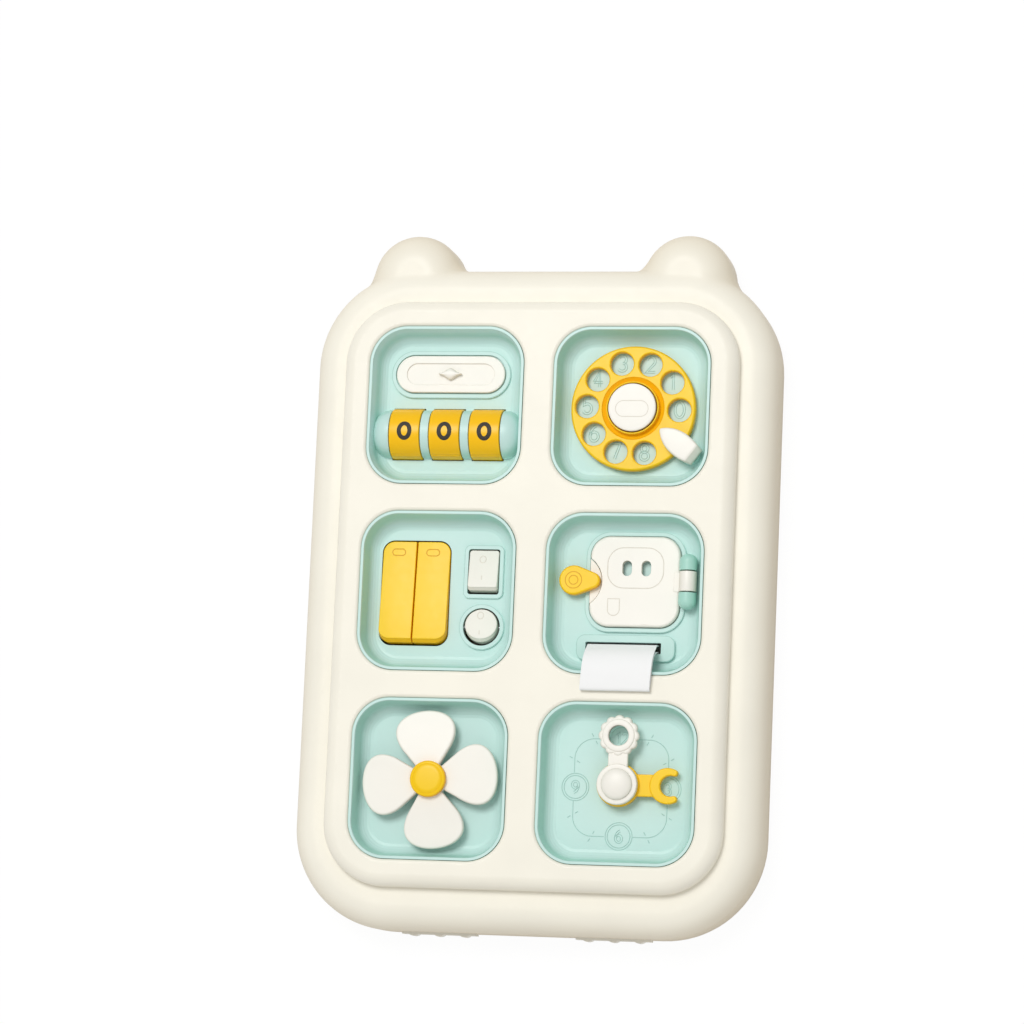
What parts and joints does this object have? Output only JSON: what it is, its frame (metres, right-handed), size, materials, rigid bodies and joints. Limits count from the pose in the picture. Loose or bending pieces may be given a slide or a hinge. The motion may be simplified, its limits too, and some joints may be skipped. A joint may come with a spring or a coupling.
{
  "type": "activity board",
  "caption": "Moulded toddler activity board with rounded ears and six trays: dial, number wheels, rocker switches, latched door with ribbon, petal fan and spanner-handed clock.",
  "frame": {"origin": "middle of the board's outline on its flat back, lying face up", "axes": "+X to the right, +Y towards the ears, +Z out of the face"},
  "size_m": [0.262, 0.3946, 0.0501],
  "materials": {
    "shell": "satin cream moulding",
    "tray": "satin mint moulding",
    "white_part": "satin warm white moulding",
    "yellow_part": "satin yellow moulding",
    "pad": "soft silicone",
    "ribbon": "woven ribbon",
    "hardware": "plain steel"
  },
  "bodies": {
    "board": {"front_shell": "shell", "back_shell": "shell", "foot_pads": "pad", "case_screws": "hardware", "tray_screws": "hardware", "tray_lock": "tray", "lock_plate": "white_part", "wheel_axle": "hardware", "tray_dial": "tray", "dial_washer": "white_part", "button_spring": "hardware", "finger_stop": "white_part", "tray_switch": "tray", "long_axle": "hardware", "square_pin": "hardware", "round_pin": "hardware", "tray_door": "tray", "hinge_pin": "hardware", "strike_plate": "white_part", "ribbon": "ribbon", "roller_axle": "hardware", "tray_fan": "tray", "fan_axle": "hardware", "tray_clock": "tray", "clock_post": "hardware", "clock_cap": "white_part"},
    "knob": {"turn_knob": "white_part", "knob_clip": "hardware"},
    "wheel_left": {"number_wheel_1": "yellow_part"},
    "wheel_middle": {"number_wheel_2": "yellow_part"},
    "wheel_right": {"number_wheel_3": "yellow_part"},
    "dial": {"dial_ring": "yellow_part", "dial_collar": "yellow_part"},
    "button": {"dial_button": "white_part", "button_clip": "hardware"},
    "long_rocker_left": {"rocker_left": "yellow_part"},
    "long_rocker_right": {"rocker_right": "yellow_part"},
    "square_switch": {"rocker_square": "white_part"},
    "round_switch": {"rocker_round": "white_part"},
    "door_leaf": {"door": "white_part"},
    "door_latch": {"latch": "yellow_part", "latch_screw": "hardware"},
    "roller": {"ribbon_roller": "white_part"},
    "fan": {"fan_blades": "white_part", "fan_cap": "yellow_part"},
    "open_hand": {"hand_open": "yellow_part"},
    "ring_hand": {"hand_ring": "white_part"}
  },
  "joints": [
    {"name": "knob_turn", "type": "hinge", "parent": "board", "child": "knob", "pos_m": [-0.0525, 0.115, 0.036], "axis": [0, 0, 1], "range_deg": [-90, 90]},
    {"name": "wheel_left_spin", "type": "hinge", "parent": "board", "child": "wheel_left", "pos_m": [-0.0753, 0.081, 0.0316], "axis": [1, 0, 0], "continuous": true},
    {"name": "wheel_middle_spin", "type": "hinge", "parent": "board", "child": "wheel_middle", "pos_m": [-0.0525, 0.081, 0.0316], "axis": [1, 0, 0], "continuous": true},
    {"name": "wheel_right_spin", "type": "hinge", "parent": "board", "child": "wheel_right", "pos_m": [-0.0297, 0.081, 0.0316], "axis": [1, 0, 0], "continuous": true},
    {"name": "dial_spin", "type": "hinge", "parent": "board", "child": "dial", "pos_m": [0.0525, 0.0958, 0.0355], "axis": [0, 0, 1], "continuous": true},
    {"name": "button_press", "type": "slide", "parent": "board", "child": "button", "axis": [0, 0, -1], "range_m": [0, 0.0019], "stiffness_N_per_m": 250, "springref_m": -0.002, "deforming": ["button_spring"]},
    {"name": "long_left_rock", "type": "hinge", "parent": "board", "child": "long_rocker_left", "pos_m": [-0.0775, -0.0084, 0.027], "axis": [1, 0, 0], "range_deg": [0, 10]},
    {"name": "long_right_rock", "type": "hinge", "parent": "board", "child": "long_rocker_right", "pos_m": [-0.0575, -0.0084, 0.027], "axis": [1, 0, 0], "range_deg": [0, 10]},
    {"name": "square_rock", "type": "hinge", "parent": "board", "child": "square_switch", "pos_m": [-0.0288, 0.004, 0.0285], "axis": [1, 0, 0], "range_deg": [0, 18]},
    {"name": "round_rock", "type": "hinge", "parent": "board", "child": "round_switch", "pos_m": [-0.0288, -0.0268, 0.0285], "axis": [1, 0, 0], "range_deg": [0, 18]},
    {"name": "door_swing", "type": "hinge", "parent": "board", "child": "door_leaf", "pos_m": [0.0869, -0.0005, 0.0382], "axis": [0, 1, 0], "range_deg": [0, 110]},
    {"name": "latch_turn", "type": "hinge", "parent": "board", "child": "door_latch", "pos_m": [0.0233, -0.0005, 0.037], "axis": [0, 0, 1], "range_deg": [-90, 90]},
    {"name": "roller_spin", "type": "hinge", "parent": "board", "child": "roller", "pos_m": [0.0516, -0.0371, 0.013], "axis": [1, 0, 0], "continuous": true},
    {"name": "fan_spin", "type": "hinge", "parent": "board", "child": "fan", "pos_m": [-0.0525, -0.1126, 0.04], "axis": [0, 0, 1], "continuous": true},
    {"name": "open_hand_spin", "type": "hinge", "parent": "board", "child": "open_hand", "pos_m": [0.0525, -0.1126, 0.037], "axis": [0, 0, 1], "continuous": true},
    {"name": "ring_hand_spin", "type": "hinge", "parent": "board", "child": "ring_hand", "pos_m": [0.0525, -0.1126, 0.041], "axis": [0, 0, 1], "continuous": true}
  ]
}
